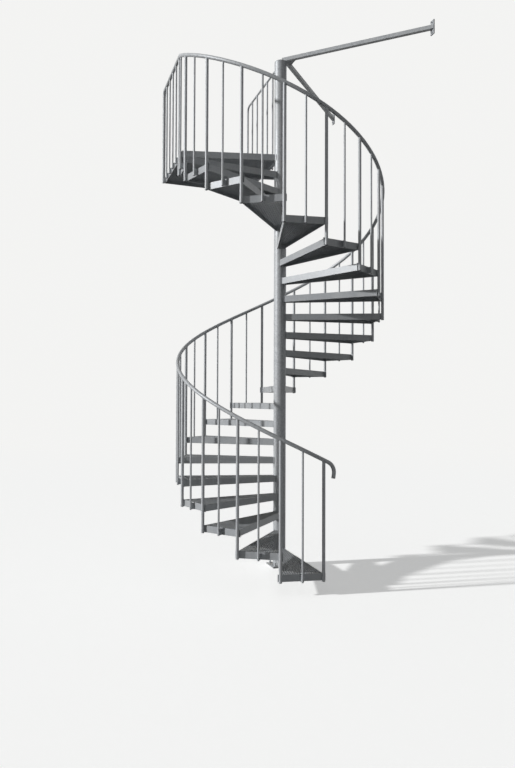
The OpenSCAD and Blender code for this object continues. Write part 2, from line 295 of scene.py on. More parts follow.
def blend_colours(tree, x, y, mask, a, b):
    """Mixes two colours, each a socket or three values, by a mask."""
    node = place(tree, "ShaderNodeMix", x, y, data_type="RGBA")
    tree.links.new(mask, node.inputs[0])
    for socket, value in ((node.inputs[6], a), (node.inputs[7], b)):
        if not isinstance(value, bpy.types.NodeSocket):
            value = (*value, 1.0)
        connect(tree, value, socket)
    return node.outputs[2]


def spangle_group():
    """Crystals of hot-dip zinc: a tone for each grain and a faint relief."""
    tree, given, out = open_group(
        "zinc spangle", "ShaderNodeTree",
        [("Vector", "NodeSocketVector", None), ("Grain", "NodeSocketFloat", 60.0)],
        [("Tone", "NodeSocketFloat"), ("Height", "NodeSocketFloat")])
    warp = feed(tree, place(tree, "ShaderNodeTexNoise", -3, 1),
                Vector=given.outputs["Vector"], Scale=35.0, Detail=2.0)
    bend = feed(tree, place(tree, "ShaderNodeVectorMath", -2, 1, operation="SCALE"),
                Vector=warp.outputs["Color"], Scale=0.012)
    moved = feed(tree, place(tree, "ShaderNodeVectorMath", -1, 0, operation="ADD"),
                 Vector=given.outputs["Vector"])
    tree.links.new(bend.outputs[0], moved.inputs[1])
    cells = feed(tree, place(tree, "ShaderNodeTexVoronoi", 0, 0),
                 Vector=moved.outputs[0], Scale=given.outputs["Grain"], Randomness=1.0)
    split = feed(tree, place(tree, "ShaderNodeSeparateColor", 1, 0), Color=cells.outputs["Color"])
    fine = feed(tree, place(tree, "ShaderNodeTexNoise", 1, 2),
                Vector=given.outputs["Vector"], Scale=420.0, Detail=3.0)
    cell_tone, fine_tone = 0.65, 0.35
    cell_height, fine_height = 0.6, 0.5
    tone = math_node(tree, 3, 0, "MULTIPLY_ADD", fine.outputs["Fac"], fine_tone,
                     math_node(tree, 2, 0, "MULTIPLY", split.outputs["Red"], cell_tone))
    height = math_node(tree, 3, 2, "MULTIPLY_ADD", fine.outputs["Fac"], fine_height,
                       math_node(tree, 2, 2, "MULTIPLY", cells.outputs["Distance"], cell_height))
    feed(tree, out, Tone=tone, Height=height)
    return tree


def weather_group():
    """Weathered zinc: dull clouds, and streaks that run down."""
    tree, given, out = open_group(
        "zinc weather", "ShaderNodeTree",
        [("Vector", "NodeSocketVector", None), ("Amount", "NodeSocketFloat", 0.5)],
        [("Cloud", "NodeSocketFloat"), ("Streak", "NodeSocketFloat")])
    cloud = feed(tree, place(tree, "ShaderNodeTexNoise", -2, 0),
                 Vector=given.outputs["Vector"], Scale=5.0, Detail=5.0, Roughness=0.6)
    stretch = feed(tree, place(tree, "ShaderNodeMapping", -3, 2),
                   Vector=given.outputs["Vector"], Scale=(38.0, 38.0, 1.6))
    run = feed(tree, place(tree, "ShaderNodeTexNoise", -2, 2),
               Vector=stretch.outputs[0], Scale=1.0, Detail=3.0)
    clouds = spread(tree, 0, 0, cloud.outputs["Fac"], low=0.40, high=0.68)
    runs = spread(tree, 0, 2, run.outputs["Fac"], low=0.52, high=0.74)
    feed(tree, out, Cloud=math_node(tree, 2, 0, "MULTIPLY", clouds, given.outputs["Amount"]),
         Streak=math_node(tree, 2, 2, "MULTIPLY", runs, given.outputs["Amount"]))
    return tree


def dust_group():
    """Dust that lies on faces that look up, in soft patches."""
    tree, given, out = open_group(
        "settled dust", "ShaderNodeTree",
        [("Vector", "NodeSocketVector", None), ("Amount", "NodeSocketFloat", 0.5)],
        [("Mask", "NodeSocketFloat")])
    face = place(tree, "ShaderNodeNewGeometry", -3, 0)
    split = feed(tree, place(tree, "ShaderNodeSeparateXYZ", -2, 0), Vector=face.outputs["Normal"])
    up = spread(tree, -1, 0, split.outputs["Z"], low=0.55, high=0.95)
    patch = feed(tree, place(tree, "ShaderNodeTexNoise", -2, 2),
                 Vector=given.outputs["Vector"], Scale=14.0, Detail=6.0, Roughness=0.65)
    soft = spread(tree, -1, 2, patch.outputs["Fac"], low=0.35, high=0.75)
    lying = math_node(tree, 1, 1, "MULTIPLY", up, soft)
    feed(tree, out, Mask=math_node(tree, 3, 1, "MULTIPLY", lying, given.outputs["Amount"]))
    return tree


def effect(tree, y, name, build, **values):
    """Sets a shared node group into a material and fills its inputs."""
    return feed(tree, place(tree, "ShaderNodeGroup", -2, y, node_tree=shared(name, build)), **values)


def shader(name):
    """A new material with its principled shader and object coordinates."""
    material = bpy.data.materials.new(name)
    material.use_nodes = True
    tree = material.node_tree
    tree.nodes.clear()
    skin = place(tree, "ShaderNodeBsdfPrincipled", 6, 0)
    feed(tree, place(tree, "ShaderNodeOutputMaterial", 8, 0), Surface=skin.outputs["BSDF"])
    where = place(tree, "ShaderNodeTexCoord", -4, 0).outputs["Object"]
    return material, tree, skin, where


def zinc(name, light, dark, roughness, metallic, grain, weather, dust, relief=0.0004):
    """Hot-dip galvanised steel: spangle, dull clouds, run marks and a little dust."""
    material, tree, skin, where = shader(name)
    spangle = effect(tree, 0, "zinc spangle", spangle_group, Vector=where, Grain=grain)
    worn = effect(tree, 2, "zinc weather", weather_group, Vector=where, Amount=weather)
    dusty = effect(tree, 4, "settled dust", dust_group, Vector=where, Amount=dust)
    base = blend_colours(tree, 0, 0, spangle.outputs["Tone"], dark, light)
    base = blend_colours(tree, 1, 0, worn.outputs["Cloud"], base, zincs().dull)
    base = blend_colours(tree, 2, 0, worn.outputs["Streak"], base, dark)
    base = blend_colours(tree, 3, 0, dusty.outputs["Mask"], base, zincs().dust)
    rough = math_node(tree, 1, 3, "MULTIPLY_ADD", worn.outputs["Cloud"], CLOUD_ROUGHNESS, roughness)
    rough = math_node(tree, 2, 3, "MULTIPLY_ADD", dusty.outputs["Mask"], DUST_ROUGHNESS, rough)
    bump = feed(tree, place(tree, "ShaderNodeBump", 4, 4), Height=spangle.outputs["Height"],
                Distance=relief, Strength=0.6)
    feed(tree, skin, Base_Color=base, Roughness=rough, Metallic=metallic, Specular_IOR_Level=0.35,
         Normal=bump.outputs["Normal"])
    return material


def plug_plastic():
    """Grained plastic of the end plugs."""
    material, tree, skin, where = shader("plug")
    grit = feed(tree, place(tree, "ShaderNodeTexNoise", -2, 0), Vector=where, Scale=900.0, Detail=2.0)
    faded = feed(tree, place(tree, "ShaderNodeTexNoise", -2, 2), Vector=where, Scale=60.0, Detail=3.0)
    dark = tuple(zincs().plug)
    fading = 1.8
    pale = tuple(min(1.0, value * fading) for value in dark)
    bump = feed(tree, place(tree, "ShaderNodeBump", 2, 2), Height=grit.outputs["Fac"],
                Distance=0.0002, Strength=0.5)
    feed(tree, skin, Base_Color=blend_colours(tree, 1, 0, faded.outputs["Fac"], dark, pale),
         Roughness=0.55, Normal=bump.outputs["Normal"])
    return material


def make_finishes():
    """Makes every finish of the stair; returns them by name."""
    c = zincs()
    made = [
        zinc("zinc tube", c.bright, c.dark, roughness=0.44, metallic=0.12, grain=80.0,
             weather=0.55, dust=0.15),
        zinc("zinc bar", c.bright, c.grey, roughness=0.46, metallic=0.12, grain=105.0,
             weather=0.45, dust=0.10),
        zinc("zinc grating", c.grey, c.dark, roughness=0.38, metallic=0.10, grain=95.0,
             weather=0.50, dust=0.85),
        zinc("zinc plate", c.grey, c.dark, roughness=0.54, metallic=0.10, grain=60.0,
             weather=0.80, dust=0.60),
        zinc("weld zinc", c.grey, c.weld, roughness=0.58, metallic=0.10, grain=240.0,
             weather=0.60, dust=0.10, relief=0.0008),
        zinc("bolt zinc", c.bright, c.grey, roughness=0.34, metallic=0.45, grain=300.0,
             weather=0.50, dust=0.30),
        plug_plastic(),
    ]
    return {material.name: material for material in made}


def finish(name):
    """A finish of the stair by name; all are made the first time one is asked for."""
    return bpy.data.materials.get(name) or make_finishes()[name]


# Pieces

def finish_piece(obj, material):
    """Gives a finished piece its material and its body."""
    obj.data.materials.clear()
    obj.data.materials.append(finish(material))
    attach(obj, BODY)


def mesh_object(name, verts, edges=(), faces=()):
    """A new object in the scene, from its points, edges and faces."""
    mesh = bpy.data.meshes.new(name)
    mesh.from_pydata([tuple(v) for v in verts], list(edges), list(faces))
    obj = bpy.data.objects.new(name, mesh)
    bpy.context.scene.collection.objects.link(obj)
    return obj


def wires(name, paths):
    """An edge-only mesh of open or closed paths: a list of (points, closed)."""
    verts, edges = [], []
    for points, closed in paths:
        start = len(verts)
        verts.extend(points)
        edges.extend((start + i, start + i + 1) for i in range(len(points) - 1))
        if closed:
            edges.append((start + len(points) - 1, start))
    return mesh_object(name, verts, edges)


def grow(obj, tree, **values):
    """Runs a geometry tree on an object and keeps the result as a plain mesh."""
    modifier = obj.modifiers.new("build", "NODES")
    modifier.node_group = tree
    for item in tree.interface.items_tree:
        key = item.name.replace(" ", "_")
        if item.item_type == "SOCKET" and item.in_out == "INPUT" and key in values:
            modifier[item.identifier] = values[key]
    bpy.context.view_layer.update()
    graph = bpy.context.evaluated_depsgraph_get()
    made = bpy.data.meshes.new_from_object(obj.evaluated_get(graph), depsgraph=graph)
    old = obj.data
    obj.modifiers.remove(modifier)
    obj.data = made
    bpy.data.meshes.remove(old)
    made.name = obj.name


def geometry_group(name, inputs):
    """A geometry tree with its own named inputs, ready to be filled."""
    tree, given, out = open_group(
        name, "GeometryNodeTree",
        [("Geometry", "NodeSocketGeometry", None), *inputs, ("Material", "NodeSocketMaterial", None)],
        [("Geometry", "NodeSocketGeometry")])
    tree.is_modifier = True
    return tree, given, out


def close_group(tree, given, out, geometry, smooth=True):
    """Ends a tree with Realize Instances and Set Material."""
    real = feed(tree, place(tree, "GeometryNodeRealizeInstances", 3, 0), Geometry=geometry)
    shade = feed(tree, place(tree, "GeometryNodeSetShadeSmooth", 4, 0), Shade_Smooth=smooth)
    tree.links.new(real.outputs[0], shade.inputs[0])
    paint = feed(tree, place(tree, "GeometryNodeSetMaterial", 5, 0),
                 Geometry=shade.outputs[0], Material=given.outputs["Material"])
    feed(tree, out, Geometry=paint.outputs[0])
    return tree


def curve_of(tree, given, x):
    """The given edges as a curve."""
    return feed(tree, place(tree, "GeometryNodeMeshToCurve", x, 0), Mesh=given.outputs["Geometry"])


def sweep(tree, x, path, profile):
    """A solid along a path, closed at its ends."""
    return feed(tree, place(tree, "GeometryNodeCurveToMesh", x, 0), Curve=path.outputs[0],
                Profile_Curve=profile.outputs[0], Fill_Caps=True)


def tube_tree():
    """A round tube along a path."""
    tree, given, out = geometry_group(
        "tube along path", [("Radius", "NodeSocketFloat", 0.017), ("Sides", "NodeSocketInt", 32)])
    path = curve_of(tree, given, -2)
    ring = feed(tree, place(tree, "GeometryNodeCurvePrimitiveCircle", -2, 2),
                Radius=given.outputs["Radius"], Resolution=given.outputs["Sides"])
    return close_group(tree, given, out, sweep(tree, 0, path, ring).outputs[0])


def rod_tree():
    """Twisted square rods along straight paths, their facets cut along the outer diagonal."""
    tree, given, out = geometry_group(
        "twisted rods", [("Side", "NodeSocketFloat", 0.005), ("Twist length", "NodeSocketFloat", 0.08),
                         ("Step", "NodeSocketFloat", 0.0062)])
    path = curve_of(tree, given, -3)
    fine = feed(tree, place(tree, "GeometryNodeResampleCurve", -2, 0, mode="LENGTH"),
                Curve=path.outputs[0], Length=given.outputs["Step"])
    along = place(tree, "GeometryNodeSplineParameter", -3, 2)
    turns = math_node(tree, -2, 2, "DIVIDE", along.outputs["Length"], given.outputs["Twist length"])
    angle = math_node(tree, -1, 2, "MULTIPLY", turns, math.tau)
    tilt = feed(tree, place(tree, "GeometryNodeSetCurveTilt", 0, 0), Curve=fine.outputs[0], Tilt=angle)
    square = feed(tree, place(tree, "GeometryNodeCurvePrimitiveQuadrilateral", 0, 2),
                  Width=given.outputs["Side"], Height=given.outputs["Side"])
    solid = sweep(tree, 1, tilt, square)
    cut = feed(tree, place(tree, "GeometryNodeTriangulate", 2, 0, quad_method="FIXED_ALTERNATE"),
               Mesh=solid.outputs[0])
    return close_group(tree, given, out, cut.outputs[0], smooth=False)


def bead_tree():
    """A weld bead: overlapping ripples along paths."""
    tree, given, out = geometry_group(
        "weld bead", [("Radius", "NodeSocketFloat", 0.003), ("Step", "NodeSocketFloat", 0.003)])
    path = curve_of(tree, given, -3)
    points = feed(tree, place(tree, "GeometryNodeCurveToPoints", -2, 0, mode="LENGTH"),
                  Curve=path.outputs[0], Length=given.outputs["Step"])
    ripple = feed(tree, place(tree, "GeometryNodeMeshIcoSphere", -2, 2),
                  Radius=given.outputs["Radius"], Subdivisions=1)
    size = feed(tree, place(tree, "FunctionNodeRandomValue", -1, 3, data_type="FLOAT_VECTOR"),
                Min=(0.92, 0.92, 0.85), Max=(1.12, 1.12, 1.15), Seed=7)
    stamp = feed(tree, place(tree, "GeometryNodeInstanceOnPoints", 0, 0),
                 Points=points.outputs["Points"], Rotation=points.outputs["Rotation"],
                 Instance=ripple.outputs["Mesh"], Scale=size.outputs[0])
    return close_group(tree, given, out, stamp.outputs[0])


def stamp_tree():
    """Copies of one small part on the points of a mesh."""
    tree, given, out = geometry_group(
        "set on points", [("Part", "NodeSocketObject", None), ("Tilt", "NodeSocketVector", None)])
    part = feed(tree, place(tree, "GeometryNodeObjectInfo", -2, 2), Object=given.outputs["Part"])
    stamp = feed(tree, place(tree, "GeometryNodeInstanceOnPoints", 0, 0),
                 Points=given.outputs["Geometry"], Instance=part.outputs["Geometry"],
                 Rotation=given.outputs["Tilt"])
    return close_group(tree, given, out, stamp.outputs[0], smooth=False)


# Where the stair's parts are

def tread_frame(k):
    """Moves from a tread's own frame, with X along its middle, to the stair's."""
    s = sizes()
    turn = -math.pi / 2 - (k - 0.5) * s.turn
    return Matrix.Translation((0, 0, k * s.rise)) @ Matrix.Rotation(turn, 4, "Z")


def band_x():
    """Distance of a tread's outer band from the column's middle."""
    s = sizes()
    return s.rail_circle * math.cos(s.turn / 2) - s.corner_r


def half_width(x):
    """Half of a tread's width between its side bars' middles, at a distance from the column."""
    s = sizes()
    at_band = band_x() * math.tan(s.turn / 2)
    return s.hub_half + (at_band - s.hub_half) * x / band_x() - s.bar_t / 2


def rail_level():
    """Height of the level handrail's middle."""
    return LANDING_Z + sizes().rail_height


def rail_place(k):
    """Point on the handrail's middle, its heading in plan and its slope."""
    s = sizes()
    angle = -math.pi / 2 - k * s.turn
    point = Vector((s.rail_circle * math.cos(angle), s.rail_circle * math.sin(angle),
                    (k + 1) * s.rise + s.rail_height))
    return point, angle - math.pi / 2, math.atan(s.rise / (s.rail_circle * s.turn))


def guard_x():
    """Place of the landing's outer guard along X."""
    s = sizes()
    return -s.rail_circle * math.cos(s.landing_skew)


def outer_post_y(i):
    """Place of a post of the outer guard along Y."""
    s = sizes()
    start = s.rail_circle * math.sin(s.landing_skew)
    end = OUTER_GUARD_END - s.rail_r
    return start + (end - start) * i / s.outer_posts


def inner_post_y(i):
    """Place of a post of the inner guard along Y."""
    end = GUARD_HIGH.y - GUARD_R
    return COLUMN_R + (end - COLUMN_R) * i / sizes().inner_posts


def landing_front_y(x):
    """Outer face of the landing's slanting front bar."""
    s = sizes()
    hub_x, hub_y = -s.hub_half * math.sin(s.landing_skew), -s.hub_half * math.cos(s.landing_skew)
    return hub_y - math.tan(s.landing_skew) * (x - hub_x)


def hook_end_way():
    """Direction of the handrail's straight lower end, pointing up into the tube."""
    s = sizes()
    heading = rail_place(-s.hook_run / (s.rail_circle * s.turn))[1]
    level = math.cos(s.hook_slope)
    return Vector((level * math.cos(heading), level * math.sin(heading), math.sin(s.hook_slope)))


def rail_points():
    """Points along the curved handrail, from its hook to the level run."""
    s = sizes()
    step = s.rail_circle * s.turn
    hook_k = -s.hook_run / step
    start, heading, slope = rail_place(hook_k)
    ahead = Vector((math.cos(heading), math.sin(heading), 0))
    up = Vector((0, 0, 1))
    bend = []
    for i in range(HOOK_STEPS, 0, -1):
        angle = slope + (s.hook_slope - slope) * i / HOOK_STEPS
        back = s.hook_r * (math.sin(angle) - math.sin(slope))
        down = s.hook_r * (math.cos(slope) - math.cos(angle))
        bend.append(start - back * ahead - down * up)
    last_k = len(TREADS) - EASE_SHARE
    steps = round((last_k - hook_k) * HELIX_STEPS_A_TREAD)
    helix = [rail_place(hook_k + (last_k - hook_k) * i / steps)[0] for i in range(steps + 1)]
    corner = rail_place(len(TREADS))[0]
    level = Vector((corner.x, corner.y + EASE_SHARE * step, corner.z))
    ease = []
    for i in range(1, EASE_STEPS + 1):
        t = i / EASE_STEPS
        ease.append((1 - t) ** 2 * helix[-1] + 2 * t * (1 - t) * corner + t * t * level)
    return [bend[0] - s.hook_drop * hook_end_way(), *bend, *helix, *ease]


def arc(radius, start, end, z, steps):
    """Points on a level arc about the column."""
    return [Vector((radius * math.cos(start + (end - start) * i / steps),
                    radius * math.sin(start + (end - start) * i / steps), z))
            for i in range(steps + 1)]


# Handrail and cross rods

def build_handrail():
    """Smooth curved handrail in place of the faceted lengths."""
    rail = wires("handrail_tube", [(rail_points(), False)])
    grow(rail, shared("tube along path", tube_tree), Radius=sizes().rail_r, Sides=RAIL_SIDES)
    finish_piece(rail, "zinc tube")
    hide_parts(*RAIL_NODES)


def build_rods():
    """Twisted cross rods of the gratings of the treads and the landing."""
    s, d = sizes(), details()
    paths = []
    middle = -d.rod_side * 0.6
    first = COLUMN_R + s.bar_t + d.rod_pitch * 0.6
    last = band_x() - d.rod_pitch * 0.4
    for k in TREAD_NUMBERS:
        move = tread_frame(k)
        x = first
        while x < last:
            half = half_width(x)
            paths.append(([move @ Vector((x, y, middle)) for y in (-half, half)], False))
            x += d.rod_pitch
    x = -GUARD_R - d.rod_pitch * 0.7
    while x > guard_x() + s.rail_r + s.bar_t:
        front = landing_front_y(x) + s.bar_t / 2
        saddle = math.sqrt(max((COLUMN_R + s.bar_t / 2) ** 2 - x * x, 0.0))
        ends = (max(front, saddle), LANDING_HIGH.y - s.bar_t / 2)
        paths.append(([Vector((x, y, LANDING_Z + middle)) for y in ends], False))
        x -= d.rod_pitch
    rods = wires("grating_cross_rods", paths)
    grow(rods, shared("twisted rods", rod_tree), Side=d.rod_side, Twist_length=d.rod_twist,
         Step=d.rod_step)
    finish_piece(rods, "zinc grating")


# Welds

def saddle_path(k):
    """Closed weld path round a tread's saddle against the column."""
    s = sizes()
    move = tread_frame(k)
    radius = COLUMN_R + details().bead_r * 0.4
    top = arc(radius, -s.saddle_angle, s.saddle_angle, 0.0, SADDLE_STEPS)
    bottom = arc(radius, s.saddle_angle, -s.saddle_angle, -s.frame_depth, SADDLE_STEPS)
    return [move @ point for point in top + bottom]


def cope_path(spot, heading, slope, post_r, tube_r):
    """Closed weld path where a baluster's top meets the tube above it."""
    ahead = Vector((math.cos(heading), math.sin(heading), 0))
    side = Vector((-math.sin(heading), math.cos(heading), 0))
    path = []
    for i in range(COPE_STEPS):
        angle = math.tau * i / COPE_STEPS
        u, v = post_r * math.cos(angle), post_r * math.sin(angle)
        drop = math.sqrt(tube_r ** 2 - v * v) / math.cos(slope)
        path.append(spot + u * ahead + v * side + Vector((0, 0, u * math.tan(slope) - drop)))
    return path


def tie_paths():
    """Weld paths where the ties meet the cap, each other, their gusset and the wall plates."""
    s = sizes()
    half = s.tie_side / 2
    z = (TIE_LOW.z + TIE_HIGH.z) / 2
    front = math.atan2(PLATE_Y, PLATE_X)
    along_front = Matrix.Rotation(-front, 4, "Z")
    joint = along_front @ Vector((s.tie_meet, 0, 0))
    rear = math.atan2(PLATE_Y - joint.y, PLATE_X - joint.x)
    between = front + rear
    rim = math.sqrt(COLUMN_R ** 2 - half ** 2)
    on_cap = [(rim, -half), (s.tie_start, -half), (s.tie_start, half), (rim, half)]
    paths = [([along_front @ Vector((x, y, TIE_LOW.z)) for x, y in on_cap], False)]

    corner = s.tie_meet + half * (1 + math.cos(between)) / math.sin(between)
    far = s.tie_meet - half * (1 - math.cos(between)) / math.sin(between)
    butt = [(far, z - half), (corner, z - half), (corner, z + half), (far, z + half)]
    paths.append(([along_front @ Vector((x, half, h)) for x, h in butt], True))
    rear_step = s.gusset_reach * Vector((math.cos(between), math.sin(between), 0))
    for level in (TIE_LOW.z, TIE_LOW.z + s.gusset_t):
        start = Vector((corner, half, level))
        for step in (Vector((s.gusset_reach, 0, 0)), rear_step):
            paths.append(([along_front @ start, along_front @ (start + step)], False))

    for sign, turn in ((-1, front), (1, rear)):
        wide = half / math.cos(turn)
        paths.append(([Vector((PLATE_X, sign * PLATE_Y + y * wide, z + h * half))
                       for y, h in ((-1, -1), (1, -1), (1, 1), (-1, 1))], True))
    return paths


def weld(name, paths, slot, radius_share=1.0, step_share=1.0):
    """Weld beads along paths; the shares are of the usual bead's radius and ripple step."""
    d = details()
    bead = wires(name, paths)
    grow(bead, shared("weld bead", bead_tree), Radius=d.bead_r * radius_share,
         Step=d.bead_step * step_share)
    finish_piece(bead, "weld zinc")


def build_welds():
    """Weld beads at the column, the balusters, the rails and the ties."""
    s, d = sizes(), details()
    foot_r = COLUMN_R + d.bead_r * 0.5
    foot = arc(foot_r, 0, math.tau, s.base_t, FOOT_STEPS)[:-1]
    saddles = [(saddle_path(k), True) for k in TREAD_NUMBERS]
    weld("welds_on_column", [(foot, True), *saddles, *tie_paths()], "tube")

    tops = [cope_path(*rail_place(k), s.corner_r, s.rail_r) for k in range(len(TREADS))]
    tops += [cope_path(*rail_place(k - 0.5), s.thin_r, s.rail_r) for k in TREAD_NUMBERS]
    for i in range(1, s.outer_posts):
        spot = Vector((guard_x(), outer_post_y(i), rail_level()))
        tops.append(cope_path(spot, math.pi / 2, 0.0, s.thin_r, s.rail_r))
    for i in range(1, s.inner_posts):
        spot = Vector((0, inner_post_y(i), GUARD_HIGH.z - GUARD_R))
        tops.append(cope_path(spot, math.pi / 2, 0.0, s.thin_r, GUARD_R))
    weld("welds_on_rails", [(top, True) for top in tops], "bar", radius_share=0.65, step_share=0.8)

    seams = []
    x = band_x() + d.bead_r * 0.3
    end_gap = 0.004
    for k in TREAD_NUMBERS:
        move = tread_frame(k)
        for side in (-1, 1):
            y = side * s.rail_circle * math.sin(s.turn / 2)
            for spot in (y - s.corner_r / 2, y + s.corner_r / 2):
                ends = (Vector((x, spot, -end_gap)), Vector((x, spot, end_gap - s.frame_depth)))
                seams.append(([move @ end for end in ends], False))
    weld("welds_on_bands", seams, "grating")


# Bolts and plugs

def lathe(name, profile, sides):
    """A solid of revolution about Z from a profile of (radius, height) that starts and ends at 0."""
    verts, faces = [], []
    for radius, height in profile[1:-1]:
        for i in range(sides):
            angle = math.tau * i / sides
            verts.append((radius * math.cos(angle), radius * math.sin(angle), height))
    rings = len(profile) - 2
    bottom, top = len(verts), len(verts) + 1
    verts += [(0, 0, profile[0][1]), (0, 0, profile[-1][1])]
    for i in range(sides):
        j = (i + 1) % sides
        faces.append((bottom, j, i))
        for ring in range(rings - 1):
            a, b = ring * sides, (ring + 1) * sides
            faces.append((a + i, a + j, b + j, b + i))
        last = (rings - 1) * sides
        faces.append((top, last + i, last + j))
    return mesh_object(name, verts, faces=faces)


def threaded_stud(d, low, high):
    """Profile of a threaded stud with a chamfered tip."""
    pitch = d * 0.125
    root_r = d / 2 * 0.88
    tip_r = d / 2 * 0.80
    profile = [(0, low)]
    z = low
    while z < high - pitch:
        profile += [(root_r, z), (d / 2, z + pitch / 2)]
        z += pitch
    return profile + [(tip_r, high), (0, high)]


def hex_nut(name, d, low, high):
    """A hexagon nut or bolt head with its corners turned off."""
    across = 1.5 * d
    corner_r = across / math.sqrt(3)
    end_r = across / 2 * 0.97
    cut = (corner_r - end_r) * 0.55
    rings = ((low, True), (low + cut, False), (high - cut, False), (high, True))
    verts, faces = [], []
    for z, turned in rings:
        for i in range(NUT_STEPS):
            angle = math.tau * i / NUT_STEPS
            flat_r = across / 2 / math.cos((angle + math.pi / 6) % (math.pi / 3) - math.pi / 6)
            radius = min(flat_r, end_r) if turned else flat_r
            verts.append((radius * math.cos(angle), radius * math.sin(angle), z))
    for ring in range(len(rings) - 1):
        a, b = ring * NUT_STEPS, (ring + 1) * NUT_STEPS
        for i in range(NUT_STEPS):
            j = (i + 1) % NUT_STEPS
            faces.append((a + i, a + j, b + j, b + i))
    faces.append(tuple(range(NUT_STEPS - 1, -1, -1)))
    faces.append(tuple(range(len(verts) - NUT_STEPS, len(verts))))
    return mesh_object(name, verts, faces=faces)


def fuse(name, parts):
    """Several small objects as one."""
    joined = bmesh.new()
    for part in parts:
        joined.from_mesh(part.data)
        mesh = part.data
        bpy.data.objects.remove(part)
        bpy.data.meshes.remove(mesh)
    obj = mesh_object(name, [])
    joined.to_mesh(obj.data)
    joined.free()
    return obj


def bolt(name, d, stud_top):
    """Washer, nut and stud that stand on a face at z = 0."""
    washer_t = d * 0.19
    washer_r = d * 0.97
    rim_r, rim_z = d * 0.93, washer_t * 0.7
    nut_top = washer_t + d * 0.8
    stud_low = nut_top - d * 0.1
    washer = [(0, 0), (washer_r, 0), (washer_r, rim_z), (rim_r, washer_t), (0, washer_t)]
    return fuse(name, [lathe("washer", washer, WASHER_SIDES), hex_nut("nut", d, washer_t, nut_top),
                       lathe("stud", threaded_stud(d, stud_low, stud_top), STUD_SIDES)])


def plug(radius, sides):
    """A plug in a tube's open end, with its outer face at z = 0."""
    thickness = details().plug_t
    edge_r, face_r = radius * 0.97, radius * 0.82
    profile = [(0, 0), (face_r, 0), (edge_r, thickness * 0.35), (edge_r, thickness), (0, thickness)]
    return lathe("plug_part", profile, sides)


def set_copies(name, spots, part, tilt, material):
    """A piece made of copies of a small part on spots; the part itself is removed."""
    piece = mesh_object(name, spots)
    grow(piece, shared("set on points", stamp_tree), Part=part, Tilt=tilt)
    finish_piece(piece, material)
    bpy.data.objects.remove(part)


def build_bolts():
    """Anchors of the base plate and of the wall plates."""
    s, d = sizes(), details()
    half = s.base_pitch / 2
    spots = [(x, y, s.base_t) for x in (-half, half) for y in (-half, half)]
    anchor_top = d.anchor_d * 1.9
    tilt = (0.0, 0.0, 0.3)
    anchor = bolt("anchor_part", d.anchor_d, anchor_top)
    set_copies("base_anchors", spots, anchor, tilt, "bolt zinc")

    z = (PLATE_LOW.z + PLATE_HIGH.z) / 2
    spots = [(PLATE_X, side * PLATE_Y, z + step * s.wall_pitch / 2)
             for side in (-1, 1) for step in (-1, 1)]
    wall_bolt_top = d.wall_bolt_d * 1.6
    tilt = (0.0, -math.pi / 2, 0.0)
    wall_bolt = bolt("wall_bolt_part", d.wall_bolt_d, wall_bolt_top)
    set_copies("wall_anchors", spots, wall_bolt, tilt, "bolt zinc")


def build_plugs():
    """Plugs in the lower ends of the balusters and of the handrail."""
    s, d = sizes(), details()
    below = s.frame_depth + s.drop + d.plug_t
    thick, thin = [], []
    for k in range(len(TREADS) + 1):
        point = rail_place(k)[0]
        thick.append((point.x, point.y, max(k, 1) * s.rise - below))
    for k in TREAD_NUMBERS:
        point = rail_place(k - 0.5)[0]
        thin.append((point.x, point.y, k * s.rise - below))
    thin += [(guard_x(), outer_post_y(i), LANDING_Z - below) for i in range(1, s.outer_posts)]
    thin += [(0.0, inner_post_y(i), LANDING_Z - below) for i in range(1, s.inner_posts)]
    upright = (0.0, 0.0, 0.0)
    set_copies("thick_baluster_plugs", thick, plug(s.corner_r, PLUG_SIDES), upright, "plug")
    set_copies("thin_baluster_plugs", thin, plug(s.thin_r, PLUG_SIDES), upright, "plug")
    way = hook_end_way()
    spots = [rail_points()[0] - d.plug_t * way]
    tilt = tuple(way.to_track_quat("Z", "Y").to_euler())
    set_copies("handrail_plug", spots, plug(s.rail_r, RAIL_SIDES), tilt, "plug")


def paint_nodes():
    """Gives every CAD node its zinc."""
    tubes = ["column", "landing_handrail", "inner_guard", "tie_front", "tie_rear", *RAIL_NODES]
    bars = ["corner_balusters", "mid_balusters", "landing_posts"]
    plates = ["base_plate", "column_cap", "tie_gusset", "wall_plate_front", "wall_plate_rear"]
    gratings = [*TREADS, "landing_platform"]
    for names, material in ((tubes, "zinc tube"), (bars, "zinc bar"), (plates, "zinc plate"),
                            (gratings, "zinc grating")):
        for name in names:
            node = NODES[name]
            if not node.material_slots:
                node.data.materials.append(None)
            for slot in node.material_slots:
                slot.material = finish(material)


# Studio

def direct_rays(tree, x, y):
    """Mask that is 1 for what the camera, mirrors and glass see directly."""
    rays = place(tree, "ShaderNodeLightPath", x, y)
    seen = math_node(tree, x + 1, y, "MAXIMUM", rays.outputs["Is Camera Ray"],
                     rays.outputs["Is Glossy Ray"])
    return math_node(tree, x + 2, y, "MAXIMUM", seen, rays.outputs["Is Transmission Ray"])


def mix_shaders(tree, x, y, mask, a, b):
    """Mixes two shaders by a mask."""
    mix = place(tree, "ShaderNodeMixShader", x, y)
    for socket, value in zip(mix.inputs, (mask, a.outputs[0], b.outputs[0])):
        tree.links.new(value, socket)
    return mix


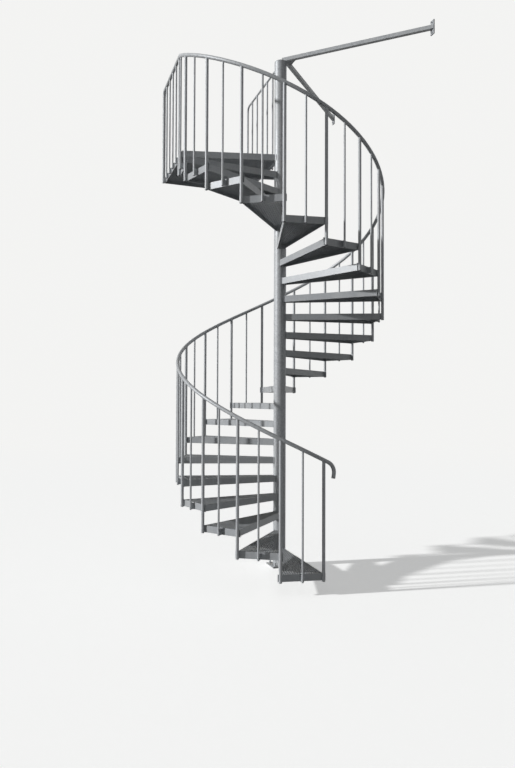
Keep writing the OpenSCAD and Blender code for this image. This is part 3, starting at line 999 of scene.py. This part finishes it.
def build_floor():
    """Pale floor with the stair's shadow, of the backdrop's tone where it is open."""
    s = studio()
    material, tree, skin, where = shader("studio floor")
    direct = direct_rays(tree, -3, 2)
    light = s.key * math.sin(s.key_height) / math.pi + s.sky
    shaded = tuple(value * s.shadow / light for value in s.floor)
    feed(tree, skin, Base_Color=blend_colours(tree, 1, 0, direct, (s.bounce,) * 3, shaded),
         Roughness=1.0, Specular_IOR_Level=0.0, Emission_Color=(*s.floor, 1.0),
         Emission_Strength=math_node(tree, 1, 2, "MULTIPLY", direct, 1.0 - s.shadow))
    away = feed(tree, place(tree, "ShaderNodeVectorMath", -2, 4, operation="LENGTH"), Vector=where)
    far = spread(tree, 0, 4, away.outputs["Value"], low=6.0, high=18.0)
    far_tone = feed(tree, place(tree, "ShaderNodeEmission", 6, 2), Color=(*s.floor, 1.0),
                    Strength=direct)
    out = next(node for node in tree.nodes if node.type == "OUTPUT_MATERIAL")
    feed(tree, out, Surface=mix_shaders(tree, 7, 1, far, skin, far_tone).outputs[0])
    reach, depth = 60.0, 0.001
    corners = [(x * reach, y * reach, -depth) for x, y in ((-1, -1), (1, -1), (1, 1), (-1, 1))]
    floor = mesh_object("studio_floor", corners, faces=[(0, 1, 2, 3)])
    floor.data.materials.append(material)


def build_light():
    """Pale surroundings, and a key light low on the left."""
    scene = bpy.context.scene
    world = scene.world or bpy.data.worlds.new("studio")
    scene.world = world
    world.use_nodes = True
    tree = world.node_tree
    tree.nodes.clear()
    s = studio()
    lit = feed(tree, place(tree, "ShaderNodeBackground", 2, 0), Color=(*s.sky_tint, 1.0),
               Strength=s.sky)
    seen = feed(tree, place(tree, "ShaderNodeBackground", 2, 2), Color=(*s.floor, 1.0), Strength=1.0)
    mix = mix_shaders(tree, 4, 0, direct_rays(tree, -2, 1), lit, seen)
    feed(tree, place(tree, "ShaderNodeOutputWorld", 5, 0), Surface=mix.outputs[0])
    lamp = bpy.data.lights.new("key", "SUN")
    lamp.energy = s.key
    lamp.angle = s.key_size
    key = bpy.data.objects.new("key", lamp)
    towards = Vector((math.sin(s.key_side) * math.cos(s.key_height),
                      math.cos(s.key_side) * math.cos(s.key_height), math.sin(s.key_height)))
    key.rotation_euler = towards.to_track_quat("Z", "Y").to_euler()
    scene.collection.objects.link(key)


def build_camera():
    """Camera at the photograph's place and angle."""
    s = studio()
    data = bpy.data.cameras.new("camera")
    data.sensor_width = 36.0
    data.lens = s.lens
    data.clip_end = 200.0
    camera = bpy.data.objects.new("camera", data)
    turn = (Matrix.Rotation(-s.heading, 4, "Z") @ Matrix.Rotation(math.pi / 2 + s.pitch, 4, "X")
            @ Matrix.Rotation(s.roll, 4, "Z"))
    camera.matrix_world = Matrix.Translation((s.camera_x, s.camera_y, s.camera_z)) @ turn
    scene = bpy.context.scene
    scene.collection.objects.link(camera)
    scene.camera = camera
    scene.view_settings.view_transform = "Standard"


# Operators and panel

class STAIR_OT_finishes(bpy.types.Operator):
    """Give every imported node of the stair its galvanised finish"""

    bl_idname = "stair.finishes"
    bl_label = "Zinc Finishes"

    def execute(self, context):
        paint_nodes()
        return {"FINISHED"}


class STAIR_OT_handrail(bpy.types.Operator):
    """Sweep the smooth curved handrail"""

    bl_idname = "stair.handrail"
    bl_label = "Handrail"

    def execute(self, context):
        build_handrail()
        return {"FINISHED"}


class STAIR_OT_rods(bpy.types.Operator):
    """Lay the twisted cross rods into the gratings"""

    bl_idname = "stair.rods"
    bl_label = "Grating Rods"

    def execute(self, context):
        build_rods()
        return {"FINISHED"}


class STAIR_OT_welds(bpy.types.Operator):
    """Run the weld beads"""

    bl_idname = "stair.welds"
    bl_label = "Weld Beads"

    def execute(self, context):
        build_welds()
        return {"FINISHED"}


class STAIR_OT_bolts(bpy.types.Operator):
    """Set the anchors of the base plate and the wall plates"""

    bl_idname = "stair.bolts"
    bl_label = "Anchors"

    def execute(self, context):
        build_bolts()
        return {"FINISHED"}


class STAIR_OT_plugs(bpy.types.Operator):
    """Close the lower ends of the balusters and the handrail"""

    bl_idname = "stair.plugs"
    bl_label = "End Plugs"

    def execute(self, context):
        build_plugs()
        return {"FINISHED"}


class STAIR_OT_studio(bpy.types.Operator):
    """Set up the floor, the light and the camera"""

    bl_idname = "stair.studio"
    bl_label = "Studio"

    def execute(self, context):
        build_floor()
        build_light()
        build_camera()
        return {"FINISHED"}


class STAIR_PT_panel(bpy.types.Panel):
    """Lists the steps and the sizes of the staircase"""

    bl_idname = "STAIR_PT_panel"
    bl_label = "Spiral Staircase"
    bl_space_type = "VIEW_3D"
    bl_region_type = "UI"
    bl_category = "Staircase"

    def draw(self, context):
        layout = self.layout
        for step in STEPS:
            layout.operator(step.bl_idname)
        for name, _ in GROUPS:
            group = getattr(context.scene, name)
            box = layout.box()
            for size in group.bl_rna.properties.keys():
                if size not in ("rna_type", "name"):
                    box.prop(group, size)


GROUPS = (
    ("stair_sizes", StairSizes),
    ("detail_sizes", DetailSizes),
    ("zinc_colours", ZincColours),
    ("studio_settings", StudioSettings),
)
STEPS = (STAIR_OT_finishes, STAIR_OT_handrail, STAIR_OT_rods, STAIR_OT_welds, STAIR_OT_bolts,
         STAIR_OT_plugs, STAIR_OT_studio)


def register():
    """Adds the sizes, the steps and the panel to Blender."""
    for name, group in GROUPS:
        bpy.utils.register_class(group)
        setattr(bpy.types.Scene, name, PointerProperty(type=group))
    for step in STEPS:
        bpy.utils.register_class(step)
    bpy.utils.register_class(STAIR_PT_panel)


def unregister():
    """Takes the panel, the steps and the sizes out of Blender."""
    bpy.utils.unregister_class(STAIR_PT_panel)
    for step in reversed(STEPS):
        bpy.utils.unregister_class(step)
    for name, group in reversed(GROUPS):
        delattr(bpy.types.Scene, name)
        bpy.utils.unregister_class(group)


def main():
    """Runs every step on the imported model."""
    register()
    bpy.ops.stair.finishes()
    bpy.ops.stair.handrail()
    bpy.ops.stair.rods()
    bpy.ops.stair.welds()
    bpy.ops.stair.bolts()
    bpy.ops.stair.plugs()
    bpy.ops.stair.studio()


if __name__ == "__main__":
    main()
